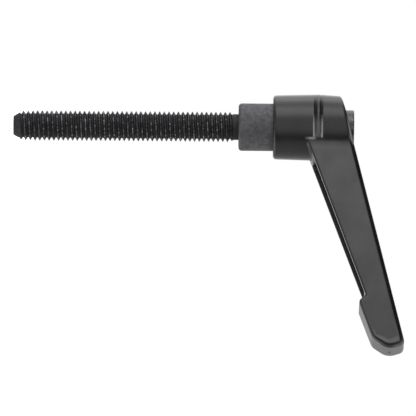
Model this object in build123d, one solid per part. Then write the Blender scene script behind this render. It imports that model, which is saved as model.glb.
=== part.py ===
from build123d import *

import os
from math import cos, pi, radians, sin, tan

# Adjustable clamping lever with an M8 x 60 stud.  Millimetres, +Z up the stud's axis.
# The origin is the centre of the boss's clamping face, the stud hangs down from it along -Z,
# and the lever's arm reaches out along +X and climbs away from the clamped work.

# Stud and boss, one turned steel piece
STUD_D = 8.0
STUD_LENGTH = 60.0
STUD_POINT_D = 4.9
STUD_POINT_ANGLE = 31.0
NECK_D = 6.9
NECK_LENGTH = 1.4
RELIEF_D = 8.4
RELIEF_DEPTH = 0.3
BOSS_D = 12.65
BOSS_ROUND = 0.9
BOSS_TOP = 14.0
INSERT_TOP = 17.0

# Serration that locks the handle to the insert
TEETH = 24
TOOTH_ROOT_R = 5.45
TOOTH_TIP_R = 6.05
TOOTH_FLAT = 0.22
TOOTH_CLEARANCE = 0.1
RUNNING_CLEARANCE = 0.1

# Retaining screw: a shouldered screw that stands on the insert
SCREW_THREAD_D = 4.0
SCREW_THREAD_LENGTH = 7.0
SCREW_SHOULDER_D = 5.4
SCREW_HEAD_D = 9.3
SCREW_HEAD_BOTTOM = 26.3
SCREW_HEAD_TOP = 30.8
SCREW_HEAD_CHAMFER = 0.3
SOCKET_ACROSS_FLATS = 4.0
SOCKET_DEPTH = 2.6

# Return spring, ground flat at both ends, its wire drawn as a prism to keep the mesh light
WIRE_D = 0.8
WIRE_SIDES = 6
SPRING_MEAN_R = 3.65
SPRING_TURNS = 3.5

# Hub of the die-cast handle
HUB_BOTTOM = 9.2
HUB_BOTTOM_R = 8.45
HUB_PARTING_Z = 21.25
HUB_PARTING_R = 8.74
HUB_UPPER_DRAFT = 3.5
HUB_EDGE_ROUND = 0.9
WEB_BOTTOM = 17.2
WEB_TOP = 19.2
WEB_HOLE_R = 2.8
SPRING_POCKET_R = 4.9

# Parting line: a fine raised rib between two shallow flutes that run out on the hub's back
FLUTE_OFFSET = 0.7
FLUTE_HALF_WIDTH = 0.45
FLUTE_DEPTH = 0.18

# Arm: side outline in the XZ plane
OUTER_PLANE_Z = 29.12
OUTER_ANGLE = 14.5
UNDERSIDE_Z = 16.41
UNDERSIDE_ANGLE = 20.45
GRIP_DROP = 2.44
STEP_TOP_X = 48.0
STEP_FOOT_X = 49.4
END_FOOT_X = 58.9
END_NOSE = (61.64, 39.68)
END_TOP_X = 60.66
STEP_ROUND = 0.75
END_FOOT_ROUND = 1.4
END_NOSE_ROUND = 2.2

# Arm: width across its lower lips, side draft towards the outer face, and edges
ARM_HALF_WIDTH_HUB = 7.15
ARM_HALF_WIDTH_END = 5.95
ARM_WIDTH_HUB_X = 5.0
ARM_WIDTH_END_X = 61.0
ARM_DRAFT = 3.5
OUTER_EDGE_ROUND = 0.9
UNDER_EDGE_ROUND = 0.8

# Channel under the arm
CHANNEL_START_X = 11.6
CHANNEL_END_X = 46.2
CHANNEL_WALL = 1.9
CHANNEL_SKIN = 2.6
CHANNEL_CORNER = 3.5


def outer_z(x):
    """Height of the lever's slanted outer face at x."""
    return OUTER_PLANE_Z + x * tan(radians(OUTER_ANGLE))


def underside_z(x):
    """Height of the arm's lower lips at x."""
    return UNDERSIDE_Z + x * tan(radians(UNDERSIDE_ANGLE))


def half_width(x):
    """Half the arm's width across its lower lips at x."""
    along = (x - ARM_WIDTH_HUB_X) / (ARM_WIDTH_END_X - ARM_WIDTH_HUB_X)
    return ARM_HALF_WIDTH_HUB + along * (ARM_HALF_WIDTH_END - ARM_HALF_WIDTH_HUB)


def turned(points):
    """Solid of revolution about Z from a half section given as (radius, height) points."""
    section = make_face(Polyline([(r, 0, z) for r, z in points], close=True).edges())
    return revolve(section, Axis.Z)


def rim_round(corner_r, corner_z, radius):
    """Half-section points of a lower rim's round, from its underside out to its side."""
    steps = [radians(angle) for angle in (0, 30, 60, 90)]
    return [(corner_r - radius * (1 - sin(a)), corner_z + radius * (1 - cos(a))) for a in steps]


def rod(radius, bottom, top):
    """Plain cylinder on the Z axis from one height to another."""
    return Pos(0, 0, bottom) * extrude(Circle(radius), top - bottom)


def serration(radius_out=0.0):
    """Face of a straight-toothed serration, let out by a clearance all round."""
    pitch = 2 * pi / TEETH
    flat = TOOTH_FLAT / TOOTH_TIP_R / 2
    corners = []
    for tooth in range(TEETH):
        middle = tooth * pitch
        gap = middle + pitch / 2
        for radius, angle in (
            (TOOTH_TIP_R, middle - flat),
            (TOOTH_TIP_R, middle + flat),
            (TOOTH_ROOT_R, gap - flat),
            (TOOTH_ROOT_R, gap + flat),
        ):
            r = radius + radius_out
            corners.append((r * cos(angle), r * sin(angle)))
    return make_face(Polyline(corners, close=True).edges())


def threaded_insert():
    """Stud, undercut neck, boss and serrated head in one piece, tapped for the retaining screw."""
    point_rise = (STUD_D - STUD_POINT_D) / 2 / tan(radians(STUD_POINT_ANGLE))
    body = turned(
        [
            (0, -STUD_LENGTH),
            (STUD_POINT_D / 2, -STUD_LENGTH),
            (STUD_D / 2, -STUD_LENGTH + point_rise),
            (STUD_D / 2, -NECK_LENGTH - 0.3),
            (NECK_D / 2, -NECK_LENGTH + 0.25),
            (NECK_D / 2, RELIEF_DEPTH),
            (STUD_D / 2, RELIEF_DEPTH),
            (RELIEF_D / 2, 0),
            *rim_round(BOSS_D / 2, 0, BOSS_ROUND),
            (BOSS_D / 2, BOSS_TOP),
            (0, BOSS_TOP),
        ]
    )
    head = Pos(0, 0, BOSS_TOP) * extrude(serration(), INSERT_TOP - BOSS_TOP)
    tapped_hole = rod(SCREW_THREAD_D / 2, INSERT_TOP - SCREW_THREAD_LENGTH - 1, INSERT_TOP)
    return body + head - tapped_hole


def retaining_screw():
    """Shouldered socket screw: its shoulder stands on the insert, its head holds the spring."""
    head_r = SCREW_HEAD_D / 2
    screw = turned(
        [
            (0, INSERT_TOP - SCREW_THREAD_LENGTH),
            (SCREW_THREAD_D / 2, INSERT_TOP - SCREW_THREAD_LENGTH),
            (SCREW_THREAD_D / 2, INSERT_TOP),
            (SCREW_SHOULDER_D / 2, INSERT_TOP),
            (SCREW_SHOULDER_D / 2, SCREW_HEAD_BOTTOM),
            (head_r, SCREW_HEAD_BOTTOM),
            (head_r, SCREW_HEAD_TOP - SCREW_HEAD_CHAMFER),
            (head_r - SCREW_HEAD_CHAMFER, SCREW_HEAD_TOP),
            (0, SCREW_HEAD_TOP),
        ]
    )
    hexagon = RegularPolygon(SOCKET_ACROSS_FLATS / 2, 6, major_radius=False)
    socket = Pos(0, 0, SCREW_HEAD_TOP - SOCKET_DEPTH) * extrude(hexagon, SOCKET_DEPTH)
    return screw - socket


def return_spring():
    """Compression spring between the handle's web and the screw's head, ends ground flat."""
    height = SCREW_HEAD_BOTTOM - WEB_TOP
    rise = height - WIRE_D / 2
    line = Helix(pitch=rise / SPRING_TURNS, height=rise, radius=SPRING_MEAN_R)
    start = line @ 0
    wire = Plane(origin=start, z_dir=line % 0) * RegularPolygon(WIRE_D / 2, WIRE_SIDES)
    coil = Pos(0, 0, WEB_TOP + WIRE_D / 4) * sweep(wire, path=line)
    between_seats = rod(SPRING_MEAN_R + WIRE_D, WEB_TOP, SCREW_HEAD_BOTTOM)
    return coil & between_seats


def hub():
    """Round body of the handle, drafted both ways from the parting line."""
    top = outer_z(HUB_PARTING_R) + 1
    top_r = HUB_PARTING_R - (top - HUB_PARTING_Z) * tan(radians(HUB_UPPER_DRAFT))
    body = turned(
        [
            (0, HUB_BOTTOM),
            *rim_round(HUB_BOTTOM_R, HUB_BOTTOM, HUB_EDGE_ROUND),
            (HUB_PARTING_R, HUB_PARTING_Z),
            (top_r, top),
            (0, top),
        ]
    )
    for side in (-1, 1):
        middle = HUB_PARTING_Z + side * FLUTE_OFFSET
        flute = turned(
            [
                (HUB_PARTING_R - FLUTE_DEPTH, middle),
                (HUB_PARTING_R + 1, middle - FLUTE_HALF_WIDTH * (1 + 1 / FLUTE_DEPTH)),
                (HUB_PARTING_R + 1, middle + FLUTE_HALF_WIDTH * (1 + 1 / FLUTE_DEPTH)),
            ]
        )
        body -= Pos(-FLUTE_DEPTH, 0, 0) * flute
    return body


def side_outline():
    """Outline of the arm in the XZ plane, from the hub's axis to the tip of the grip."""
    step_top = (STEP_TOP_X, underside_z(STEP_TOP_X))
    step_foot = (STEP_FOOT_X, underside_z(STEP_FOOT_X) - GRIP_DROP)
    end_foot = (END_FOOT_X, underside_z(END_FOOT_X) - GRIP_DROP)
    end_top = (END_TOP_X, outer_z(END_TOP_X))
    axis_points = ((0, outer_z(0)), (0, underside_z(0)))
    corners = Polyline(*axis_points, step_top, step_foot, end_foot, END_NOSE, end_top, close=True)
    outline = make_face(corners.edges())
    for corner, radius in (
        (step_top, STEP_ROUND),
        (step_foot, STEP_ROUND),
        (end_foot, END_FOOT_ROUND),
        (END_NOSE, END_NOSE_ROUND),
    ):
        outline = fillet(outline.vertices().sort_by_distance(corner)[0], radius)
    return outline


def tapered_plan(start, end, inset=0.0):
    """Outline at Z = 0 of the arm's drafted sides, between two distances from the axis."""
    near = half_width(start) + underside_z(start) * tan(radians(ARM_DRAFT)) - inset
    far = half_width(end) + underside_z(end) * tan(radians(ARM_DRAFT)) - inset
    corners = Polyline((start, -near), (end, -far), (end, far), (start, near), close=True)
    return make_face(corners.edges())


def side_edges(solid):
    """Edges of the arm's two flat sides."""
    sides = [face for face in solid.faces() if abs(face.normal_at().Y) > 0.99]
    return [edge for side in sides for edge in side.edges()]


def is_lower_edge(edge):
    """True for an edge away from both the hub's axis and the outer face."""
    middle = edge.center()
    return middle.X > 1 and middle.Z < outer_z(middle.X) - 0.1


def arm():
    """Tapered bar from the hub's axis to the tip, its lower and end edges rounded."""
    beyond_tip = END_NOSE[0] + 5
    slab = extrude(Plane.XZ * side_outline(), ARM_HALF_WIDTH_HUB + 1, both=True)
    bar = slab & extrude(tapered_plan(0, beyond_tip), outer_z(beyond_tip), taper=ARM_DRAFT)
    return fillet([edge for edge in side_edges(bar) if is_lower_edge(edge)], UNDER_EDGE_ROUND)


def above_outer_face():
    """Everything above the lever's slanted outer face."""
    size = 4 * END_NOSE[0]
    block = Box(size, size, size, align=(Align.CENTER, Align.CENTER, Align.MIN))
    return Pos(0, 0, OUTER_PLANE_Z) * Rot(0, -OUTER_ANGLE, 0) * block


def channel():
    """Pocket under the arm, open towards the stud, with a skin of even thickness above it."""
    plan = tapered_plan(CHANNEL_START_X, CHANNEL_END_X, CHANNEL_WALL)
    plan = fillet(plan.vertices(), CHANNEL_CORNER)
    pocket = extrude(plan, outer_z(CHANNEL_END_X), taper=ARM_DRAFT)
    return pocket - Pos(0, 0, -CHANNEL_SKIN / cos(radians(OUTER_ANGLE))) * above_outer_face()


def hub_bores():
    """Stepped bore of the hub: boss bearing, serration, screw hole and spring pocket."""
    bearing = rod(BOSS_D / 2 + RUNNING_CLEARANCE, HUB_BOTTOM, BOSS_TOP)
    teeth = Pos(0, 0, BOSS_TOP) * extrude(serration(TOOTH_CLEARANCE), WEB_BOTTOM - BOSS_TOP)
    screw_hole = rod(WEB_HOLE_R, WEB_BOTTOM, WEB_TOP)
    pocket = rod(SPRING_POCKET_R, WEB_TOP, outer_z(SPRING_POCKET_R) + 1)
    return bearing + teeth + screw_hole + pocket


def lever_handle():
    """Die-cast handle: hub, arm and grip in one piece, its outer face one slanted plane."""
    body = hub() - above_outer_face() + arm()
    outer_face = body.faces().filter_by(GeomType.PLANE).sort_by(Axis.Z)[-1]
    body = fillet(outer_face.edges(), OUTER_EDGE_ROUND)
    return body - channel() - hub_bores()


NODES = {
    "lever_handle": lever_handle,
    "threaded_insert": threaded_insert,
    "retaining_screw": retaining_screw,
    "return_spring": return_spring,
}

os.makedirs("parts", exist_ok=True)
for name, build in NODES.items():
    solid = build().solid()
    solid.label = name
    export_step(solid, f"parts/{name}.step")
    print(name, round(solid.volume, 1), "mm3")
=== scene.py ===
from math import atan, cos, hypot, pi, radians, sin, tan

import bpy
import bmesh
from mathutils import Matrix, Vector


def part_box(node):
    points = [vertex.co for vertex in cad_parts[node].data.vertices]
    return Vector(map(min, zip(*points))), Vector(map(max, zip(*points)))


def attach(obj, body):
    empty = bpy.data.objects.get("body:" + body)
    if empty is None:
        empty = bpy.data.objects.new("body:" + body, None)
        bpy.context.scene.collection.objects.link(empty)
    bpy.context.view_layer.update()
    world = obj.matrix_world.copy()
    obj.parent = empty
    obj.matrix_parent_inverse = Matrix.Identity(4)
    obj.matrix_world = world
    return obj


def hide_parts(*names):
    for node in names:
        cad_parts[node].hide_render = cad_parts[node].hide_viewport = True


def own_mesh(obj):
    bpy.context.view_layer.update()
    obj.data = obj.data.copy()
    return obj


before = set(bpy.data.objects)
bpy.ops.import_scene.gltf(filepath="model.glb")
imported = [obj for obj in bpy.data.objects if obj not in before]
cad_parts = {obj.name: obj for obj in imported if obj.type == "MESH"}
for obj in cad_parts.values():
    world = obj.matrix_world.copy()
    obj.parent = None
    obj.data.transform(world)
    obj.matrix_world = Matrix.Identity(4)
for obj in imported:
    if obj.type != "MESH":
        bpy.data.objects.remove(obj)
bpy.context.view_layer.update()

# Lever handle.  One zinc die casting: a round hub, an arm hollowed from below and a solid grip.
# It leaves the die with every edge rounded and a parting rib round the hub, and is then
# powder coated satin black.  Its bore carries a serration that locks on the insert.
MM = 0.001
HUB_SIDES = 160
HUB_BOTTOM = 9.2
HUB_BOTTOM_R = 8.54
HUB_STOCK_TOP = 36
HUB_UPPER_DRAFT = 3.5
BOTTOM_ROUND = 0.9
PARTING_Z = 21.25
PARTING_R = 8.83
FLUTE_SPREAD = 0.76
FLUTE_HALF = 0.5
FLUTE_DEPTH = 0.45
FLUTE_BACK_FADE = 1.8
FLUTE_END_X = 4.4
FLUTE_END_RUN = 0.7
FLUTE_RINGS = 21
RING_STEP = 0.07
ARC_STEPS = 6


def edit(piece):
    """Opens one piece in edit mode with all of it selected."""
    bpy.ops.object.select_all(action="DESELECT")
    piece.select_set(True)
    bpy.context.view_layer.objects.active = piece
    bpy.ops.object.mode_set(mode="EDIT")
    bpy.ops.mesh.select_all(action="SELECT")


def turned(name, profile, sides):
    """A solid turned about Z: a disc drawn along (radius, height) steps in millimetres."""
    bpy.ops.object.select_all(action="DESELECT")
    first_r, first_z = profile[0]
    bpy.ops.mesh.primitive_circle_add(vertices=sides, radius=first_r * MM, fill_type="NGON")
    piece = bpy.context.object
    piece.name = name
    edit(piece)
    bpy.ops.transform.translate(value=(0, 0, first_z * MM))
    for (r, z), (next_r, next_z) in zip(profile, profile[1:]):
        bpy.ops.mesh.extrude_region_move(TRANSFORM_OT_translate={"value": (0, 0, (next_z - z) * MM)})
        grow = next_r / r
        bpy.ops.transform.resize(value=(grow, grow, 1), center_override=(0, 0, next_z * MM))
    bpy.ops.mesh.select_all(action="SELECT")
    bpy.ops.mesh.normals_make_consistent(inside=False)
    bpy.ops.object.mode_set(mode="OBJECT")
    return piece


def rim(radius, z, size):
    """Profile points of a rounded rim, from the end face at z out and up to the side."""
    turn = [radians(90 * i / ARC_STEPS) for i in range(ARC_STEPS + 1)]
    return [(radius - size * (1 - sin(a)), z + size * (1 - cos(a))) for a in turn]


def hub_r(z):
    """Radius of the hub at height z: it tapers both ways from the parting line."""
    if z < PARTING_Z:
        return HUB_BOTTOM_R + (z - HUB_BOTTOM) / (PARTING_Z - HUB_BOTTOM) * (PARTING_R - HUB_BOTTOM_R)
    return PARTING_R - (z - PARTING_Z) * tan(radians(HUB_UPPER_DRAFT))


flute_levels = [PARTING_Z + RING_STEP * i for i in range(-FLUTE_RINGS, FLUTE_RINGS + 1)]
hub_profile = rim(HUB_BOTTOM_R, HUB_BOTTOM, BOTTOM_ROUND)
hub_profile += [(hub_r(z), z) for z in [*flute_levels, HUB_STOCK_TOP]]
handle = turned("lever_handle_cast", hub_profile, HUB_SIDES)

# Two flutes leave the parting rib standing between them.  They die away at the hub's back and
# stop just before the arm
for vertex in handle.data.vertices:
    x, y, z = (c / MM for c in vertex.co)
    away = min(abs(z - PARTING_Z - FLUTE_SPREAD), abs(z - PARTING_Z + FLUTE_SPREAD)) / FLUTE_HALF
    if away < 1:
        depth = FLUTE_DEPTH * min(FLUTE_BACK_FADE * (1 + x / hypot(x, y)), 1) * (1 - away)
        depth *= min(max((FLUTE_END_X - x) / FLUTE_END_RUN, 0), 1)
        shrink = 1 - depth / hypot(x, y)
        vertex.co = (x * shrink * MM, y * shrink * MM, z * MM)

# The arm: its slanted outer face and lower lips rise away from the hub, and its sides draw in
# upwards by the die's draft and towards the end.  The grip hangs lower than the lips, by a step
OUTER_Z = 29.29
OUTER_ANGLE = 14.2
UNDER_Z = 16.34
UNDER_ANGLE = 20.45
GRIP_DROP = 2.5
STEP_TOP_X = 47.4
STEP_FOOT_X = 48.9
END_FOOT_X = 58.9
END_FOOT_LEAD = 3.5
END_NOSE = (61.93, 39.82)
END_WALL_TOP = (58.46, 51.31)
ARM_STOCK_TOP = 40.0
WIDTH_FROM_X = 5
WIDTH_RUN = 56
HALF_WIDTH_HUB = 7.15
HALF_WIDTH_END = 5.95
ARM_DRAFT = 3.5
LIP_ROUND = (1.3, 0.5, 0.8)
GRIP_ROUND = (0.55, 0.8, 0.7)
FOOT_ROUND = (1.1, 1.1, 1.6)
END_ROUND = (1.5, 1.5, 2.2)
CROWN_SLOPE = tan(radians(12))
CROWN_STEPS = 4
EDGE_STEPS = 12


def under_z(x):
    """Height of the arm's lower lips at x, in millimetres."""
    return UNDER_Z + x * tan(radians(UNDER_ANGLE))


def side_y(x, z):
    """Half width of the arm's drafted side at x and z, in millimetres."""
    lip = HALF_WIDTH_HUB + (x - WIDTH_FROM_X) / WIDTH_RUN * (HALF_WIDTH_END - HALF_WIDTH_HUB)
    return lip - (z - under_z(x)) * tan(radians(ARM_DRAFT))


def rounded(before, corner, after, radius):
    """Points of a corner rounded to a radius between two straight runs."""
    corner, before, after = Vector(corner), Vector(before), Vector(after)
    u, w = (before - corner).normalized(), (after - corner).normalized()
    half = u.angle(w) / 2
    reach = radius / tan(half)
    middle = corner + (u + w).normalized() * (radius / sin(half))
    start, end = corner + u * reach - middle, corner + w * reach - middle
    turn = start.angle_signed(end)
    points = []
    for i in range(ARC_STEPS + 1):
        a = -turn * i / ARC_STEPS
        points.append((middle.x + start.x * cos(a) - start.y * sin(a),
                       middle.y + start.x * sin(a) + start.y * cos(a)))
    return points


# The side outline, from inside the hub along the lips, over the step and round the end.  Each
# corner has its radius in this outline, and the reach and depth of the casting's rounded edge
# there, with the width over which the flat side falls gently towards it
corners = (
    ((0.0, ARM_STOCK_TOP), 0, LIP_ROUND),
    ((0.0, under_z(0)), 0, LIP_ROUND),
    ((STEP_TOP_X, under_z(STEP_TOP_X)), 0.75, LIP_ROUND),
    ((STEP_FOOT_X, under_z(STEP_FOOT_X) - GRIP_DROP), 1.35, GRIP_ROUND),
    ((END_FOOT_X - END_FOOT_LEAD, under_z(END_FOOT_X - END_FOOT_LEAD) - GRIP_DROP), 0, GRIP_ROUND),
    ((END_FOOT_X, under_z(END_FOOT_X) - GRIP_DROP), 3.0, FOOT_ROUND),
    (END_NOSE, 4.2, END_ROUND),
    (END_WALL_TOP, 0, END_ROUND),
)
outline = []
for i, (corner, radius, edge_round) in enumerate(corners):
    before, after = corners[i - 1][0], corners[(i + 1) % len(corners)][0]
    points = rounded(before, corner, after, radius) if radius else [corner]
    outline += [(Vector(point), edge_round) for point in points]
inward = []
for i, (point, _) in enumerate(outline):
    before = (point - outline[i - 1][0]).normalized()
    after = (outline[(i + 1) % len(outline)][0] - point).normalized()
    square_before, square_after = (Vector((-run.y, run.x)) for run in (before, after))
    inward.append((square_before + square_after) / (1 + square_before.dot(square_after)))

bpy.ops.object.select_all(action="DESELECT")
bpy.ops.mesh.primitive_circle_add(vertices=len(outline), fill_type="NGON")
arm = bpy.context.object
for vertex, (point, _) in zip(arm.data.vertices, outline):
    vertex.co = (point.x * MM, 0, point.y * MM)
edit(arm)
last_level = 2 * EDGE_STEPS + 1
for _ in range(last_level):
    bpy.ops.mesh.extrude_region_move(TRANSFORM_OT_translate={"value": (0, MM, 0)})
bpy.ops.object.mode_set(mode="OBJECT")

# The copies of the outline become the arm's two rounded edges.  From each flat side the first
# few fall over the gentle crown, and the rest go round an elliptic arc out to the outline itself
for vertex in arm.data.vertices:
    here = Vector((vertex.co.x, vertex.co.z)) / MM
    i = min(range(len(outline)), key=lambda k: (outline[k][0] - here).length)
    point, (reach, depth, crown) = outline[i]
    level = round(vertex.co.y / MM)
    step = min(level, last_level - level)
    first = atan(CROWN_SLOPE * reach / depth)
    fallen = min(step / CROWN_STEPS, 1)
    turn = first + (pi / 2 - first) * max(step - CROWN_STEPS, 0) / (EDGE_STEPS - CROWN_STEPS)
    point = point + inward[i] * (reach * (1 - sin(turn)) + crown * (1 - fallen))
    y = side_y(point.x, point.y) - crown * CROWN_SLOPE / 2 * fallen ** 2 - depth * (cos(first) - cos(turn))
    vertex.co = (point.x * MM, (y if level > EDGE_STEPS else -y) * MM, point.y * MM)
edit(arm)
bpy.ops.mesh.normals_make_consistent(inside=False)

# Where the arm leaves the hub its sides and its lips run into the round body over small fillets.
# The cuts give the flat faces there vertices to bend.  A bisect counts vertices within its
# threshold as on the plane, and its own 0.1 mm would leave some of them past it
SIDE_FILLET = 1.5
LIP_FILLET = 0.6
FILLET_SINK = 0.05
SIDE_Y = 5
CUT_MARGIN = 0.01
ON_PLANE = 1e-7
side_cuts = [3.4] + [4.25 + 0.15 * i for i in range(12)]
side_rows = (18.6, 19.8, PARTING_Z, 24.0, 28.0)
lip_cuts = [6.1 + 0.2 * i for i in range(19)]
lip_rows = [0.5 * i for i in range(-12, 13)]
for x in side_cuts + lip_cuts:
    bpy.ops.mesh.select_all(action="SELECT")
    bpy.ops.mesh.bisect(plane_co=(x * MM, 0, 0), plane_no=(1, 0, 0), threshold=ON_PLANE)
for z in side_rows:
    bpy.ops.mesh.select_all(action="DESELECT")
    mesh = bmesh.from_edit_mesh(arm.data)
    for face in mesh.faces:
        face.select_set(abs(face.normal.y) > 0.9 and face.calc_center_median().x < side_cuts[-1] * MM)
    bpy.ops.mesh.bisect(plane_co=(0, 0, z * MM), plane_no=(0, 0, 1), threshold=ON_PLANE)
for y in lip_rows:
    bpy.ops.mesh.select_all(action="DESELECT")
    mesh = bmesh.from_edit_mesh(arm.data)
    for face in mesh.faces:
        face.select_set(face.normal.z < -0.9 and face.calc_center_median().x < lip_cuts[-1] * MM)
    bpy.ops.mesh.bisect(plane_co=(0, y * MM, 0), plane_no=(0, 1, 0), threshold=ON_PLANE)
bpy.ops.object.mode_set(mode="OBJECT")
for vertex in arm.data.vertices:
    x, y, z = (c / MM for c in vertex.co)
    if abs(y) > SIDE_Y and side_cuts[0] + CUT_MARGIN < x < side_cuts[-1] - CUT_MARGIN:
        flat_y, round_r = side_y(WIDTH_FROM_X, z), hub_r(z)
        arm_end = ((round_r + SIDE_FILLET) ** 2 - (flat_y + SIDE_FILLET) ** 2) ** 0.5
        hub_end = arm_end * round_r / (round_r + SIDE_FILLET)
        if x > hub_end:
            rise = SIDE_FILLET - (SIDE_FILLET ** 2 - max(arm_end - x, 0) ** 2) ** 0.5
        else:
            rise = (round_r ** 2 - x ** 2) ** 0.5 - flat_y - FILLET_SINK
        vertex.co.y += rise * MM * (1 if y > 0 else -1)
    x, y, z = (c / MM for c in vertex.co)
    gap = hypot(x, y) - hub_r(z)
    facing_down = 1 - (z - under_z(x)) / LIP_ROUND[0]
    if gap < LIP_FILLET and 0 < facing_down:
        drop = LIP_FILLET - (LIP_FILLET ** 2 - (LIP_FILLET - max(gap, 0)) ** 2) ** 0.5
        vertex.co.z -= drop * min(facing_down, 1) * MM


def combine(piece, tool, operation):
    """Joins, cuts or keeps the overlap of two closed pieces, and removes the tool."""
    bpy.ops.object.select_all(action="DESELECT")
    piece.select_set(True)
    bpy.context.view_layer.objects.active = piece
    modifier = piece.modifiers.new(operation.lower(), "BOOLEAN")
    modifier.operation = operation
    modifier.solver = "EXACT"
    modifier.object = tool
    bpy.ops.object.modifier_apply(modifier=modifier.name)
    bpy.data.objects.remove(tool)


combine(handle, arm, "UNION")

# Joined vertices come in any order, so they are put in one order before near ones are merged.
# The cursor stands off every plane of symmetry for this, and then goes back, because new
# primitives are added at it
SORT_FROM = (0.31, 0.73, -0.17)
MERGE = 0.005 * MM
edit(handle)
bpy.context.scene.cursor.location = SORT_FROM
bpy.ops.mesh.sort_elements(type="CURSOR_DISTANCE", elements={"VERT", "EDGE", "FACE"})
bpy.context.scene.cursor.location = (0, 0, 0)
bpy.ops.mesh.remove_doubles(threshold=MERGE)

# The slanted outer face is cut across hub and arm alike.  Its rim is rounded a little at the
# hub's back and more towards the arm
HUB_RIM_ROUND = 0.5
OUTER_ROUND = 1.45
RIM_GROWS_OVER = 15
bpy.ops.mesh.bisect(
    plane_co=(0, 0, OUTER_Z * MM),
    plane_no=(-sin(radians(OUTER_ANGLE)), 0, cos(radians(OUTER_ANGLE))),
    use_fill=True,
    clear_outer=True,
    threshold=ON_PLANE,
)
bpy.ops.mesh.select_all(action="DESELECT")
mesh = bmesh.from_edit_mesh(handle.data)
outer_face = max(mesh.faces, key=lambda face: face.calc_area() if face.normal.z > 0.9 else 0)
for edge in outer_face.edges:
    edge.select_set(True)
bmesh.update_edit_mesh(handle.data)
bpy.ops.object.mode_set(mode="OBJECT")
weights = handle.data.attributes.new("bevel_weight_edge", "FLOAT", "EDGE")
for edge in handle.data.edges:
    from_back = handle.data.vertices[edge.vertices[0]].co.x / MM + PARTING_R
    along = min(max(from_back / RIM_GROWS_OVER, 0), 1)
    share = (HUB_RIM_ROUND + along * (OUTER_ROUND - HUB_RIM_ROUND)) / OUTER_ROUND
    weights.data[edge.index].value = share if edge.select else 0
bevel = handle.modifiers.new("rounding", "BEVEL")
bevel.width = OUTER_ROUND * MM
bevel.segments = 6
bevel.limit_method = "WEIGHT"
bevel.use_clamp_overlap = False
bpy.ops.object.modifier_apply(modifier=bevel.name)

# The channel under the arm: a drafted pocket with rounded corners, under a skin of even thickness
CHANNEL_START_X = 9.0
CHANNEL_END_X = 47.2
CHANNEL_WALL = 1.2
CHANNEL_SKIN = 2.6
CHANNEL_CORNER = 0.9
CHANNEL_ROOF_ROUND = 0.8
CHANNEL_END_DRAFT = 2
POCKET_BASE_Z = 12.0
POCKET_TOP_Z = 40.0
channel_corners = [(x, side * (side_y(x, POCKET_BASE_Z) - CHANNEL_WALL)) for x, side in (
    (CHANNEL_START_X, -1), (CHANNEL_END_X, -1), (CHANNEL_END_X, 1), (CHANNEL_START_X, 1))]
plan = []
for i, corner in enumerate(channel_corners):
    plan += rounded(channel_corners[i - 1], corner, channel_corners[(i + 1) % 4], CHANNEL_CORNER)
bpy.ops.object.select_all(action="DESELECT")
bpy.ops.mesh.primitive_circle_add(vertices=len(plan), fill_type="NGON")
pocket = bpy.context.object
for vertex, (x, y) in zip(pocket.data.vertices, plan):
    vertex.co = (x * MM, y * MM, POCKET_BASE_Z * MM)
edit(pocket)
pocket_height = POCKET_TOP_Z - POCKET_BASE_Z
bpy.ops.mesh.extrude_region_move(TRANSFORM_OT_translate={"value": (0, 0, pocket_height * MM)})
middle_x = (CHANNEL_START_X + CHANNEL_END_X) / 2
half_channel = side_y(middle_x, POCKET_BASE_Z) - CHANNEL_WALL
narrow = 1 - pocket_height * tan(radians(ARM_DRAFT)) / half_channel
shorten = 1 - 2 * pocket_height * tan(radians(CHANNEL_END_DRAFT)) / (CHANNEL_END_X - CHANNEL_START_X)
bpy.ops.transform.resize(
    value=(shorten, narrow, 1), center_override=(middle_x * MM, 0, POCKET_TOP_Z * MM))
bpy.ops.mesh.select_all(action="SELECT")
skin_z = OUTER_Z - CHANNEL_SKIN / cos(radians(OUTER_ANGLE))
bpy.ops.mesh.bisect(
    plane_co=(0, 0, skin_z * MM),
    plane_no=(-sin(radians(OUTER_ANGLE)), 0, cos(radians(OUTER_ANGLE))),
    use_fill=True,
    clear_outer=True,
    threshold=ON_PLANE,
)
mesh = bmesh.from_edit_mesh(pocket.data)
roof = max(mesh.faces, key=lambda face: face.normal.z)
bpy.ops.mesh.select_all(action="DESELECT")
for edge in roof.edges:
    edge.select_set(True)
bmesh.update_edit_mesh(pocket.data)
bpy.ops.mesh.bevel(offset=CHANNEL_ROOF_ROUND * MM, segments=4, affect="EDGES")
bpy.ops.mesh.select_all(action="SELECT")
bpy.ops.mesh.normals_make_consistent(inside=False)
bpy.ops.object.mode_set(mode="OBJECT")
combine(handle, pocket, "DIFFERENCE")

# The hub's stepped bore: bearing for the insert's boss, 24-tooth serration, screw hole through
# the web that carries the spring, and spring pocket
BOSS_BORE_R = 6.425
BORE_FOOT_Z = 8
SHOULDER_Z = 14
SCREW_HOLE_R = 2.8
WEB_Z = 19.2
POCKET_R = 4.9
TEETH = 24
TOOTH_TIP_R = 6.05
TOOTH_ROOT_R = 5.45
TOOTH_FLAT = 0.22
TEETH_FOOT_Z = 13.9
TEETH_TOP_Z = 17.0
TEETH_HEADROOM = 0.2
TEETH_EASE = 0.1
bore = turned("bore", [
    (BOSS_BORE_R, BORE_FOOT_Z), (BOSS_BORE_R, SHOULDER_Z), (SCREW_HOLE_R, SHOULDER_Z),
    (SCREW_HOLE_R, WEB_Z), (POCKET_R, WEB_Z), (POCKET_R, HUB_STOCK_TOP)], sides=96)
combine(handle, bore, "DIFFERENCE")


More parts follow.
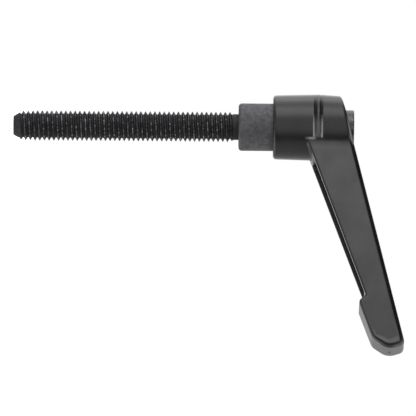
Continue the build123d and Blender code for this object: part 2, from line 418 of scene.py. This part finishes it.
def serration(name, top, ease):
    """A prism with straight teeth all round, let out by a clearance."""
    bpy.ops.object.select_all(action="DESELECT")
    bpy.ops.mesh.primitive_circle_add(vertices=TEETH * 4, fill_type="NGON")
    prism = bpy.context.object
    prism.name = name
    half_flat = TOOTH_FLAT / TOOTH_TIP_R / 2
    for i, vertex in enumerate(prism.data.vertices):
        tip = i % 4 < 2
        angle = (i // 4 + (0 if tip else 0.5)) * 2 * pi / TEETH + (half_flat if i % 2 else -half_flat)
        radius = (TOOTH_TIP_R if tip else TOOTH_ROOT_R) + ease
        vertex.co = (radius * cos(angle) * MM, radius * sin(angle) * MM, TEETH_FOOT_Z * MM)
    edit(prism)
    height = (top - TEETH_FOOT_Z) * MM
    bpy.ops.mesh.extrude_region_move(TRANSFORM_OT_translate={"value": (0, 0, height)})
    bpy.ops.mesh.select_all(action="SELECT")
    bpy.ops.mesh.normals_make_consistent(inside=False)
    bpy.ops.object.mode_set(mode="OBJECT")
    return prism


combine(handle, serration("handle_teeth", TEETH_TOP_Z + TEETH_HEADROOM, TEETH_EASE), "DIFFERENCE")

# Where the metal entered the die: a small broken-off scar, filed flat and left a little hollow
GATE_AT = (61.52 * MM, 0, 40.4 * MM)
GATE_HALF_SIZES = (0.18, 1.1, 0.5)
bpy.ops.object.select_all(action="DESELECT")
bpy.ops.mesh.primitive_ico_sphere_add(subdivisions=3, radius=MM, location=GATE_AT)
gate = bpy.context.object
edit(gate)
bpy.ops.transform.resize(value=GATE_HALF_SIZES, center_override=GATE_AT)
bpy.ops.object.mode_set(mode="OBJECT")
combine(handle, gate, "DIFFERENCE")


def finish_surface(piece, angle):
    """Shades a piece smooth up to an angle, and lets its broad faces set the normals."""
    bpy.ops.object.select_all(action="DESELECT")
    piece.select_set(True)
    bpy.context.view_layer.objects.active = piece
    bpy.ops.object.shade_smooth_by_angle(angle=radians(angle))
    weighted = piece.modifiers.new("normals", "WEIGHTED_NORMAL")
    weighted.keep_sharp = True
    weighted.weight = 80
    bpy.ops.object.modifier_apply(modifier=weighted.name)


finish_surface(handle, angle=32)


def linear(hex_colour):
    """An sRGB hex colour as the linear RGBA that the shader nodes take."""
    channels = [int(hex_colour[i:i + 2], 16) / 255 for i in (1, 3, 5)]
    return [c / 12.92 if c < 0.04045 else ((c + 0.055) / 1.055) ** 2.4 for c in channels] + [1.0]


def node(material, kind, settings=None, links=None):
    """Adds one shader node, sets its properties and sockets, and links sockets from others."""
    added = material.node_tree.nodes.new(kind)
    for key, value in (settings or {}).items():
        if str(key) in added.bl_rna.properties:
            setattr(added, key, value)
        else:
            added.inputs[key].default_value = value
    for key, source in (links or {}).items():
        material.node_tree.links.new(source, added.inputs[key])
    return added


# Powder coat over zinc, satin black, over a fine orange peel.  It flows out smooth on the small
# round hub, and lies duller under a grey haze on the arm's broad flats, where hands have
# polished it again towards the grip.
PEEL = 0.9 * MM
GRIT = 0.25 * MM
CLOUD = 6 * MM
coat = bpy.data.materials.new("black_powder_coat")
coat.use_nodes = True
shader = coat.node_tree.nodes["Principled BSDF"]
shader.inputs["IOR"].default_value = 1.5
surface = node(coat, "ShaderNodeTexCoord")
place = surface.outputs["Object"]
peel = node(coat, "ShaderNodeTexNoise", {"Scale": 1 / PEEL, "Detail": 2.0}, {"Vector": place})
grit = node(coat, "ShaderNodeTexNoise", {"Scale": 1 / GRIT, "Detail": 1.0}, {"Vector": place})
cloud = node(coat, "ShaderNodeTexNoise", {"Scale": 1 / CLOUD, "Detail": 3.0}, {"Vector": place})
tint = node(coat, "ShaderNodeMapRange", {"From Min": 0.35, "From Max": 0.65}, {"Value": cloud.outputs["Fac"]})
tones = []
for dark, light in (("#0b0b0c", "#151516"), ("#3c3c3d", "#454546"), ("#2f2f30", "#373738")):
    tones.append(node(coat, "ShaderNodeMix", {"data_type": "RGBA", 6: linear(dark), 7: linear(light)},
                      {0: tint.outputs["Result"]}).outputs[2])
smooth_tone, hazed_tone, polished_tone = tones

# Readings in millimetres of where on the handle a point is, and of which way its surface faces
scaled = node(coat, "ShaderNodeVectorMath", {"operation": "SCALE", "Scale": 1 / MM}, {0: place})
apart = node(coat, "ShaderNodeSeparateXYZ", links={"Vector": scaled.outputs[0]})
at_x, at_y, at_z = apart.outputs
facing = node(coat, "ShaderNodeSeparateXYZ", links={"Vector": surface.outputs["Normal"]})
facing_up = facing.outputs["Z"]
side = node(coat, "ShaderNodeMath", {"operation": "SIGN"}, {0: at_y})
outward = node(coat, "ShaderNodeMath", {"operation": "MULTIPLY"}, {
    0: facing.outputs["Y"], 1: side.outputs[0]})
facing_out = outward.outputs[0]
heights = []
for level, angle in ((UNDER_Z, UNDER_ANGLE), (OUTER_Z, OUTER_ANGLE)):
    leaning = node(coat, "ShaderNodeMath", {"operation": "MULTIPLY_ADD", 1: -tan(radians(angle))}, {
        0: at_x, 2: at_z})
    heights.append(node(coat, "ShaderNodeMath", {"operation": "SUBTRACT", 1: level}, {
        0: leaning.outputs[0]}).outputs[0])
above_lips, above_face = heights

flat = node(coat, "ShaderNodeMapRange", {"From Min": 0.94, "From Max": 0.99}, {"Value": facing_out})
past_hub = node(coat, "ShaderNodeMapRange", {"From Min": 5, "From Max": 7}, {"Value": at_x})
dull = node(coat, "ShaderNodeMath", {"operation": "MULTIPLY"}, {
    0: flat.outputs["Result"], 1: past_hub.outputs["Result"]})
to_grip = node(coat, "ShaderNodeMapRange", {"From Min": 8, "From Max": 56}, {"Value": at_x})
haze = node(coat, "ShaderNodeMix", {"data_type": "RGBA"}, {
    0: to_grip.outputs["Result"], 6: hazed_tone, 7: polished_tone})
bloom = node(coat, "ShaderNodeMix", {"data_type": "RGBA"}, {
    0: dull.outputs[0], 6: smooth_tone, 7: haze.outputs[2]})

# Painted highlights: the coat's colour is lightened towards a light grey along edges where light glints.
# Each zone has its strength and its bands: what is read, where the painted highlight begins and where it is
# full.  In turn they are the flutes' outer edges on the arm's side of the hub, fainter over the rib between;
# the corner at the arm's root; the crowned side at the grip's end; the lower lips; and the outer face's rim
# above the first zone
PAINTED_HIGHLIGHT_Z = PARTING_Z - 0.13
over_line = node(coat, "ShaderNodeMath", {"operation": "SUBTRACT", 1: PAINTED_HIGHLIGHT_Z}, {0: at_z})
off_line = node(coat, "ShaderNodeMath", {"operation": "ABSOLUTE"}, {0: over_line.outputs[0]}).outputs[0]
past_rib = node(coat, "ShaderNodeMapRange", {"From Min": 0.78, "From Max": 0.95, "To Min": 0.22}, {
    "Value": off_line}).outputs["Result"]
zones = (
    (1.0, ((off_line, 1.4, 1.15), (at_x, -1.6, 1.4), (at_x, 5, 4.4), (past_rib, 0, 1))),
    (0.75, ((at_x, 4.5, 4.75), (at_x, 5.25, 5.0), (at_z, 17.6, 19.0), (at_z, 20.9, 19.9))),
    (0.27, ((facing_out, 0.9945, 0.987), (facing_out, 0.945, 0.965), (at_x, 54, 59))),
    (0.7, ((above_lips, 0.5, 0.2), (above_lips, -0.4, -0.2), (at_x, 8.0, 9.5), (facing_up, -0.7, -0.85))),
    (0.7, ((above_face, -0.65, -0.4), (facing_up, 0.93, 0.85), (facing_up, 0.2, 0.4),
           (at_x, -1.6, 1.4), (at_x, 6.5, 5.5))),
)
wear_and_painted_highlight = None
for strength, bands in zones:
    zone = None
    for reading, begins, full in bands:
        band = node(coat, "ShaderNodeMapRange", {"From Min": begins, "From Max": full}, {"Value": reading})
        factors = {0: band.outputs["Result"]} if zone is None else {0: band.outputs["Result"], 1: zone}
        zone = node(coat, "ShaderNodeMath", {"operation": "MULTIPLY", 1: strength}, factors).outputs[0]
    either = {0: zone} if wear_and_painted_highlight is None else {0: zone, 1: wear_and_painted_highlight}
    wear_and_painted_highlight = node(coat, "ShaderNodeMath", {"operation": "MAXIMUM", 1: 0.0}, either).outputs[0]
# Where the painted highlights are full, the coat's colour becomes a light grey
coloured = node(coat, "ShaderNodeMix", {"data_type": "RGBA", 7: linear("#7e7e81")}, {
    0: wear_and_painted_highlight, 6: bloom.outputs[2]})
coat.node_tree.links.new(coloured.outputs[2], shader.inputs["Base Color"])

grade = node(coat, "ShaderNodeMapRange", {"To Min": 0.24, "To Max": 0.46}, {"Value": dull.outputs[0]})
gloss = node(coat, "ShaderNodeMath", {"operation": "MULTIPLY_ADD", 1: 0.08}, {
    0: peel.outputs["Fac"], 2: grade.outputs["Result"]})
coat.node_tree.links.new(gloss.outputs[0], shader.inputs["Roughness"])
ripple = node(coat, "ShaderNodeBump", {"Strength": 0.12, "Distance": 0.05 * MM}, {
    "Height": peel.outputs["Fac"]})
fine = node(coat, "ShaderNodeBump", {"Strength": 0.1, "Distance": 0.02 * MM}, {
    "Height": grit.outputs["Fac"], "Normal": ripple.outputs["Normal"]})
coat.node_tree.links.new(fine.outputs["Normal"], shader.inputs["Normal"])
handle.data.materials.clear()
handle.data.materials.append(coat)
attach(handle, "handle")
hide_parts("lever_handle")

# Threaded insert.  One steel bar turned to boss, neck and serrated head, its stud thread rolled,
# then blackened.  It is held in the clamped work by the thread and carries the whole lever.
STUD_TIP = -60.0
PITCH = 1.25
CREST_R = 3.97
ROOT_R = 3.2
NECK_R = 3.45
TIP_R = 2.47
TIP_SLOPE = 0.6
THREAD_TURNS = 50
THREAD_LEAD = 1.004
TURN_STEPS = 72
RUN_OUT_Z = -2.2
RUN_OUT = 0.9
NECK_TOP_Z = 0.15
BOSS_R = 6.325
BOSS_ROUND = 0.9
BOSS_FACE_R = 4.2
UNDERCUT_R = 4.0
UNDERCUT = 0.3
CORE_R = NECK_R - 0.2
CORE_FOOT_Z = -0.6
bpy.ops.object.select_all(action="DESELECT")
bpy.ops.mesh.primitive_circle_add(vertices=3)
stud = bpy.context.object
stud.name = "threaded_insert_turned"
edit(stud)
bpy.ops.mesh.delete(type="VERT")
bpy.ops.object.mode_set(mode="OBJECT")

# One turn of thread, root to root, is drawn up in a screw.  It starts just over a turn below the
# tip, so that no vertex of it lies where the tip is cut off
root_flat, crest_flat = PITCH / 4, PITCH / 8
flank = (PITCH - crest_flat - root_flat) / 2
half_way = (CREST_R + ROOT_R) / 2
profile = [(ROOT_R, 0), (ROOT_R, root_flat), (half_way, root_flat + flank / 2),
           (CREST_R, root_flat + flank), (CREST_R, root_flat + flank + crest_flat),
           (half_way, PITCH - flank / 2), (ROOT_R, PITCH)]
stud.data.from_pydata([(r * MM, 0, (z + STUD_TIP - THREAD_LEAD * PITCH) * MM) for r, z in profile],
                      [(i, i + 1) for i in range(len(profile) - 1)], [])
screw_up = stud.modifiers.new("thread", "SCREW")
screw_up.axis = "Z"
screw_up.angle = 2 * pi
screw_up.screw_offset = PITCH * MM
screw_up.iterations = THREAD_TURNS
screw_up.steps = TURN_STEPS
screw_up.render_steps = TURN_STEPS
screw_up.use_merge_vertices = False
bpy.ops.object.modifier_apply(modifier=screw_up.name)
edit(stud)
bpy.ops.mesh.remove_doubles(threshold=MERGE)
bpy.ops.object.mode_set(mode="OBJECT")

# The thread runs out on the neck under the boss, and the tip is turned to a cone
for vertex in stud.data.vertices:
    x, y, z = (c / MM for c in vertex.co)
    radius = hypot(x, y)
    on_neck = min(max((z - RUN_OUT_Z) / RUN_OUT, 0), 1)
    low = ROOT_R + (NECK_R - ROOT_R) * on_neck
    high = CREST_R + (NECK_R - CREST_R) * on_neck
    cone = TIP_R + TIP_SLOPE * max(z - STUD_TIP, 0)
    held = min(max(min(radius, high), low), cone) / radius
    vertex.co = (x * held * MM, y * held * MM, z * MM)
edit(stud)
for z, way in ((STUD_TIP, -1), (NECK_TOP_Z, 1)):
    bpy.ops.mesh.select_all(action="SELECT")
    bpy.ops.mesh.bisect(plane_co=(0, 0, z * MM), plane_no=(0, 0, way), use_fill=True,
                        clear_outer=True, threshold=ON_PLANE)
bpy.ops.mesh.select_all(action="SELECT")
bpy.ops.mesh.normals_make_consistent(inside=False)
bpy.ops.object.mode_set(mode="OBJECT")

# The boss has a core that reaches down inside the neck, and a shallow undercut round the neck
boss = turned("boss", [
    (CORE_R, CORE_FOOT_Z), (CORE_R, UNDERCUT), (UNDERCUT_R, UNDERCUT), (BOSS_FACE_R, 0),
    *rim(BOSS_R, 0, BOSS_ROUND), (BOSS_R, SHOULDER_Z)], sides=128)
combine(stud, boss, "UNION")
combine(stud, serration("insert_teeth", TEETH_TOP_Z, 0), "UNION")
finish_surface(stud, angle=38)

# Black oxide on turned steel: a thin, matt conversion layer, so the metal still shows through it
# in lighter clouds, most on the turned boss, and bare where the thread's crests are rubbed
oxide = bpy.data.materials.new("black_oxide_steel")
oxide.use_nodes = True
shader = oxide.node_tree.nodes["Principled BSDF"]
shader.inputs["Metallic"].default_value = 1.0
place = node(oxide, "ShaderNodeTexCoord").outputs["Object"]
cloud = node(oxide, "ShaderNodeTexNoise", {"Scale": 1 / (1.1 * MM), "Detail": 4.0, "Roughness": 0.7}, {
    "Vector": place})
speck = node(oxide, "ShaderNodeTexNoise", {"Scale": 1 / (0.5 * MM), "Detail": 2.0}, {"Vector": place})
tint = node(oxide, "ShaderNodeMapRange", {"From Min": 0.35, "From Max": 0.65}, {
    "Value": cloud.outputs["Fac"]})
tones = []
for dark, light in (("#3c3c3e", "#4e4e50"), ("#5c5c5e", "#747477")):
    tones.append(node(oxide, "ShaderNodeMix", {"data_type": "RGBA", 6: linear(dark), 7: linear(light)},
                      {0: tint.outputs["Result"]}).outputs[2])
thread_tone, boss_tone = tones
apart = node(oxide, "ShaderNodeSeparateXYZ", links={"Vector": place})
level_place = node(oxide, "ShaderNodeCombineXYZ", links={"X": apart.outputs["X"], "Y": apart.outputs["Y"]})
from_axis = node(oxide, "ShaderNodeVectorMath", {"operation": "LENGTH"}, {0: level_place.outputs["Vector"]})
on_boss = node(oxide, "ShaderNodeMapRange", {"From Min": 4.1 * MM, "From Max": 4.4 * MM}, {
    "Value": from_axis.outputs["Value"]})
skin = node(oxide, "ShaderNodeMix", {"data_type": "RGBA"}, {
    0: on_boss.outputs["Result"], 6: thread_tone, 7: boss_tone})
off_boss = node(oxide, "ShaderNodeMath", {"operation": "SUBTRACT", 0: 1.0}, {1: on_boss.outputs["Result"]})
on_crest = node(oxide, "ShaderNodeMapRange", {"From Min": 3.7 * MM, "From Max": 3.9 * MM}, {
    "Value": from_axis.outputs["Value"]})
patchy = node(oxide, "ShaderNodeMapRange", {"From Min": 0.52, "From Max": 0.66}, {
    "Value": speck.outputs["Fac"]})
wear_and_painted_highlight = node(oxide, "ShaderNodeMath", {"operation": "MULTIPLY"}, {
    0: patchy.outputs["Result"], 1: on_crest.outputs["Result"]})
wear_and_painted_highlight = node(oxide, "ShaderNodeMath", {"operation": "MULTIPLY"}, {
    0: wear_and_painted_highlight.outputs[0], 1: off_boss.outputs[0]})
skin = node(oxide, "ShaderNodeMix", {"data_type": "RGBA", 7: linear("#b0b0b2")}, {
    0: wear_and_painted_highlight.outputs[0], 6: skin.outputs[2]})
oxide.node_tree.links.new(skin.outputs[2], shader.inputs["Base Color"])
gloss = node(oxide, "ShaderNodeMapRange", {"To Min": 0.58, "To Max": 0.78}, {"Value": speck.outputs["Fac"]})
oxide.node_tree.links.new(gloss.outputs["Result"], shader.inputs["Roughness"])
pits = node(oxide, "ShaderNodeBump", {"Strength": 0.3, "Distance": 0.04 * MM}, {
    "Height": speck.outputs["Fac"]})
oxide.node_tree.links.new(pits.outputs["Normal"], shader.inputs["Normal"])
stud.data.materials.clear()
stud.data.materials.append(oxide)
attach(stud, "root")
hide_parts("threaded_insert")

# Retaining screw.  A headed steel shoulder screw with a hexagon socket, blackened, driven into
# the insert's top: its shoulder is the axle that the handle is lifted along.
SHANK_R = 2.0
AXLE_R = 2.7
END_CHAMFER = 0.4
HEAD_R = 4.78
HEAD_FOOT_Z = 26.3
HEAD_FOOT_CHAMFER = 0.15
HEAD_ROUND = 0.4
HEAD_ROUND_MIDDLE = 0.12
SOCKET_FLATS = 4
SOCKET_R = SOCKET_FLATS / 3 ** 0.5
SOCKET_FLOOR_Z = 29
DRILL_R = 2.2
DRILL_FLOOR_Z = 28.2
ABOVE_HEAD_Z = 32
screw_low, screw_high = (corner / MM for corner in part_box("retaining_screw"))
screw = turned("retaining_screw_headed", [
    (SHANK_R - END_CHAMFER, screw_low.z), (SHANK_R, screw_low.z + END_CHAMFER),
    (SHANK_R, TEETH_TOP_Z), (AXLE_R, TEETH_TOP_Z), (AXLE_R, HEAD_FOOT_Z),
    (HEAD_R - HEAD_FOOT_CHAMFER, HEAD_FOOT_Z), (HEAD_R, HEAD_FOOT_Z + HEAD_FOOT_CHAMFER),
    (HEAD_R, screw_high.z - HEAD_ROUND),
    (HEAD_R - HEAD_ROUND_MIDDLE, screw_high.z - HEAD_ROUND_MIDDLE),
    (HEAD_R - HEAD_ROUND, screw_high.z)], sides=96)
socket = turned("socket", [
    (DRILL_R, DRILL_FLOOR_Z), (DRILL_R, SOCKET_FLOOR_Z),
    (SOCKET_R, SOCKET_FLOOR_Z), (SOCKET_R, ABOVE_HEAD_Z)], sides=6)
combine(screw, socket, "DIFFERENCE")
finish_surface(screw, angle=38)

# Cold-headed alloy steel, blackened and oiled: darker and smoother than the turned insert, with
# lighter clouds where the oil film is thin
oiled = bpy.data.materials.new("oiled_black_steel")
oiled.use_nodes = True
shader = oiled.node_tree.nodes["Principled BSDF"]
shader.inputs["Metallic"].default_value = 1.0
place = node(oiled, "ShaderNodeTexCoord").outputs["Object"]
film = node(oiled, "ShaderNodeTexNoise", {"Scale": 1 / (0.8 * MM), "Detail": 3.0}, {"Vector": place})
tint = node(oiled, "ShaderNodeMapRange", {"From Min": 0.35, "From Max": 0.65}, {
    "Value": film.outputs["Fac"]})
tone = node(oiled, "ShaderNodeMix", {"data_type": "RGBA", 6: linear("#3e3e40"), 7: linear("#5c5c5f")}, {
    0: tint.outputs["Result"]})
oiled.node_tree.links.new(tone.outputs[2], shader.inputs["Base Color"])
gloss = node(oiled, "ShaderNodeMapRange", {"To Min": 0.16, "To Max": 0.34}, {"Value": film.outputs["Fac"]})
oiled.node_tree.links.new(gloss.outputs["Result"], shader.inputs["Roughness"])
dents = node(oiled, "ShaderNodeBump", {"Strength": 0.25, "Distance": 0.03 * MM}, {
    "Height": film.outputs["Fac"]})
oiled.node_tree.links.new(dents.outputs["Normal"], shader.inputs["Normal"])
screw.data.materials.clear()
screw.data.materials.append(oiled)
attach(screw, "root")
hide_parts("retaining_screw")

# Return spring.  A few turns of bright drawn wire round the screw's shoulder, both ends ground
# flat.  It pushes the handle down on the serration, and closes up when the handle is lifted.
WIRE_R = 0.4
WIRE_SIDES = 14
SPRING_R = 3.65
SPRING_TURNS = 3.5
SPRING_STEPS = 140
spring_height = HEAD_FOOT_Z - WEB_Z
bpy.ops.object.select_all(action="DESELECT")
bpy.ops.mesh.primitive_circle_add(
    vertices=WIRE_SIDES, radius=WIRE_R * MM, rotation=(pi / 2, 0, 0),
    location=(SPRING_R * MM, 0, WEB_Z * MM))
spring = bpy.context.object
spring.name = "return_spring_coiled"
bpy.ops.object.transform_apply()
coil = spring.modifiers.new("coil", "SCREW")
coil.axis = "Z"
coil.angle = SPRING_TURNS * 2 * pi
coil.screw_offset = spring_height * MM
coil.steps = SPRING_STEPS
coil.render_steps = SPRING_STEPS
bpy.ops.object.modifier_apply(modifier=coil.name)
edit(spring)
bpy.ops.mesh.fill_holes(sides=WIRE_SIDES)
for z, way in ((WEB_Z, -1), (HEAD_FOOT_Z, 1)):
    bpy.ops.mesh.select_all(action="SELECT")
    bpy.ops.mesh.bisect(plane_co=(0, 0, z * MM), plane_no=(0, 0, way), use_fill=True,
                        clear_outer=True, threshold=ON_PLANE)
bpy.ops.mesh.select_all(action="SELECT")
bpy.ops.mesh.remove_doubles(threshold=0.002 * MM)
bpy.ops.mesh.normals_make_consistent(inside=False)
bpy.ops.object.mode_set(mode="OBJECT")
finish_surface(spring, angle=40)

# Drawn carbon steel: bright, with the die's fine marks and greyer patches left by its drawing soap
wire = bpy.data.materials.new("drawn_spring_wire")
wire.use_nodes = True
shader = wire.node_tree.nodes["Principled BSDF"]
shader.inputs["Metallic"].default_value = 1.0
place = node(wire, "ShaderNodeTexCoord").outputs["Object"]
soap = node(wire, "ShaderNodeTexNoise", {"Scale": 1 / (0.7 * MM), "Detail": 3.0}, {"Vector": place})
marks = node(wire, "ShaderNodeTexNoise", {"Scale": 1 / (0.12 * MM), "Detail": 1.0}, {"Vector": place})
tint = node(wire, "ShaderNodeMapRange", {"From Min": 0.35, "From Max": 0.65}, {"Value": soap.outputs["Fac"]})
tone = node(wire, "ShaderNodeMix", {"data_type": "RGBA", 6: linear("#8b8b8e"), 7: linear("#b6b6b9")}, {
    0: tint.outputs["Result"]})
wire.node_tree.links.new(tone.outputs[2], shader.inputs["Base Color"])
gloss = node(wire, "ShaderNodeMapRange", {"To Min": 0.22, "To Max": 0.42}, {"Value": soap.outputs["Fac"]})
wire.node_tree.links.new(gloss.outputs["Result"], shader.inputs["Roughness"])
lines = node(wire, "ShaderNodeBump", {"Strength": 0.15, "Distance": 0.01 * MM}, {
    "Height": marks.outputs["Fac"]})
wire.node_tree.links.new(lines.outputs["Normal"], shader.inputs["Normal"])
spring.data.materials.clear()
spring.data.materials.append(wire)
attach(spring, "spring")
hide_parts("return_spring")
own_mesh(spring)

# Shooting table.  A disc of opal acrylic lit from behind, just under the stud's tip
TABLE_R = 450
TABLE_X = 20
TABLE_GAP = 1.5
bpy.ops.object.select_all(action="DESELECT")
bpy.ops.mesh.primitive_circle_add(
    vertices=96, radius=TABLE_R * MM, fill_type="NGON",
    location=(TABLE_X * MM, 0, (STUD_TIP - TABLE_GAP) * MM))
floor = bpy.context.object
floor.name = "shooting_table"
opal = bpy.data.materials.new("opal_acrylic")
opal.use_nodes = True
shader = opal.node_tree.nodes["Principled BSDF"]
shader.inputs["Base Color"].default_value = linear("#f2f2f2")
shader.inputs["Roughness"].default_value = 0.6
shader.inputs["Emission Color"].default_value = linear("#ffffff")
shader.inputs["Emission Strength"].default_value = 0.9
floor.data.materials.append(opal)
floor.visible_glossy = False

# Studio.  The camera looks along the ground, turned a little from the arm's square side, and
# softboxes stand round the lever.  Each has the way it lies, the cosines off that way of its edge
# and of its even middle, and its light
VIEW_TURN = radians(15)
toward = Vector((sin(VIEW_TURN), -cos(VIEW_TURN), 0))
across = Vector((cos(VIEW_TURN), sin(VIEW_TURN), 0))
up = Vector((0, 0, 1))
softboxes = (
    (-toward, 0.72, 0.99, 0.85),
    (toward * cos(radians(60)) - across * sin(radians(60)), 0.89, 0.996, 1.5),
    (-across, 0.62, 0.95, 1.35),
    (toward * cos(radians(14)) - across * sin(radians(14)), 0.62, 0.985, 1.0),
    ((across * 0.985 - toward * 0.174).normalized(), 0.3, 0.9, 0.68),
    ((-across - toward).normalized(), 0.75, 0.97, 1.1),
    (-up, 0.3, 0.9, 0.5),
    ((across * 0.5 - up * 0.86).normalized(), 0.7, 0.97, 0.9),
    ((across * 0.5 + up * 0.86).normalized(), 0.58, 0.92, 1.6),
)
world = bpy.data.worlds.new("studio")
world.use_nodes = True
bpy.context.scene.world = world
ray = node(world, "ShaderNodeTexCoord")
total = None
for way, edge_cos, middle_cos, light in softboxes:
    off_way = node(world, "ShaderNodeVectorMath", {"operation": "DOT_PRODUCT", 1: way}, {
        0: ray.outputs["Generated"]})
    glow = node(world, "ShaderNodeMapRange", {
        "interpolation_type": "SMOOTHSTEP", "From Min": edge_cos, "From Max": middle_cos, "To Max": light}, {
        "Value": off_way.outputs["Value"]})
    sources = {0: glow.outputs["Result"]} if total is None else {0: total, 1: glow.outputs["Result"]}
    total = node(world, "ShaderNodeMath", {"operation": "ADD", 1: 0.0}, sources).outputs[0]
lit = world.node_tree.nodes["Background"]
lit.inputs["Color"].default_value = (1, 1, 1, 1)
world.node_tree.links.new(total, lit.inputs["Strength"])
white = node(world, "ShaderNodeBackground", {"Color": (1, 1, 1, 1), "Strength": 1.0})
seen = node(world, "ShaderNodeLightPath")
mix = node(world, "ShaderNodeMixShader", links={
    0: seen.outputs["Is Camera Ray"], 1: lit.outputs["Background"], 2: white.outputs["Background"]})
world.node_tree.links.new(mix.outputs["Shader"], world.node_tree.nodes["World Output"].inputs["Surface"])
bpy.context.scene.view_settings.view_transform = "Standard"

# Camera.  A long lens from far off, so that near and far parts keep their true proportions
FIELD = 110.86
AIM_ACROSS = 21.63
AIM_Z = -7.95
ROLL = radians(0.475)
lens = bpy.data.cameras.new("camera")
camera = bpy.data.objects.new("camera", lens)
bpy.context.scene.collection.objects.link(camera)
bpy.context.scene.camera = camera
lens.lens = 1000
lens.sensor_width = 36
lens.clip_start = 0.1
lens.clip_end = 20
distance = FIELD / 2 / (lens.sensor_width / 2 / lens.lens)
camera.location = (across * AIM_ACROSS + up * AIM_Z + toward * distance) * MM
right = up * cos(ROLL) - across * sin(ROLL)
down = up * sin(ROLL) + across * cos(ROLL)
camera.rotation_mode = "QUATERNION"
camera.rotation_quaternion = Matrix((right, -down, toward)).transposed().to_quaternion()
